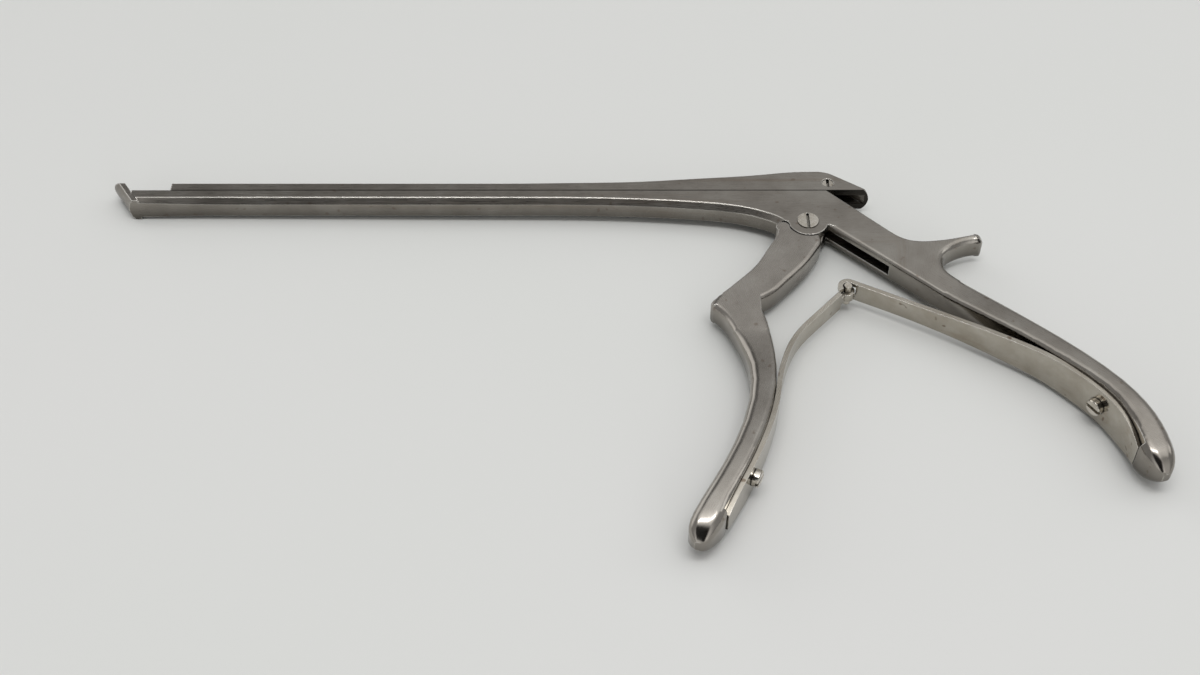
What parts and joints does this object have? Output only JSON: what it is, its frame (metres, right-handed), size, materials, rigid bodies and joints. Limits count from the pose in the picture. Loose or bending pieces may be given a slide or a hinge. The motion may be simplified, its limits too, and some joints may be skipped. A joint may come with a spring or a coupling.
{
  "type": "bone rongeur",
  "caption": "Kerrison bone rongeur: a sliding shaft closes on a footplate when the trigger handle is squeezed against two linked leaf springs.",
  "frame": {"origin": "on the pivot axis, on the flat lower side face of the frame; the instrument lies on its side", "axes": "+X from the jaw to the handles along the shaft, +Y to the back of the sliding shaft, +Z out of the upper side face"},
  "size_m": [0.2717, 0.1251, 0.0138],
  "materials": {
    "satin_body": "satin stainless steel, polished edges",
    "spring_steel": "lengthwise brushed stainless steel",
    "screw_steel": "turned stainless steel"
  },
  "bodies": {
    "frame": {"shaft_frame": "satin_body", "pivot_screw": "screw_steel", "rear_spring_screw": "screw_steel"},
    "trigger": {"trigger_handle": "satin_body", "front_spring_screw": "screw_steel"},
    "slider": {"sliding_shaft": "satin_body", "slider_screw": "screw_steel"},
    "rear_spring": {"rear_leaf_spring": "spring_steel"},
    "front_spring": {"front_leaf_spring": "spring_steel", "spring_link_pin": "screw_steel"}
  },
  "joints": [
    {"name": "trigger_pivot", "type": "hinge", "parent": "frame", "child": "trigger", "pos_m": [0, 0, 0], "axis": [0, 0, 1], "range_deg": [0, 37.6], "stiffness_Nm_per_rad": 0.5, "springref_deg": -8.59},
    {"name": "slider_slide", "type": "slide", "parent": "frame", "child": "slider", "axis": [-1, 0, 0], "range_m": [0, 0.0106]},
    {"name": "rear_spring_flex", "type": "hinge", "parent": "frame", "child": "rear_spring", "pos_m": [0.0594, -0.0522, 0], "axis": [0, 0, -1], "range_deg": [0, 11.1], "deforming": ["rear_leaf_spring"]},
    {"name": "front_spring_flex", "type": "hinge", "parent": "trigger", "child": "front_spring", "pos_m": [-0.0127, -0.0588, 0], "axis": [0, 0, 1], "range_deg": [0, 10.5], "deforming": ["front_leaf_spring"]}
  ],
  "couplings": [
    {"joint": "slider_slide", "follows": "trigger_pivot", "m_per_rad": 0.01581},
    {"joint": "rear_spring_flex", "follows": "trigger_pivot", "ratio": 0.2795},
    {"joint": "front_spring_flex", "follows": "trigger_pivot", "ratio": 0.2622}
  ]
}
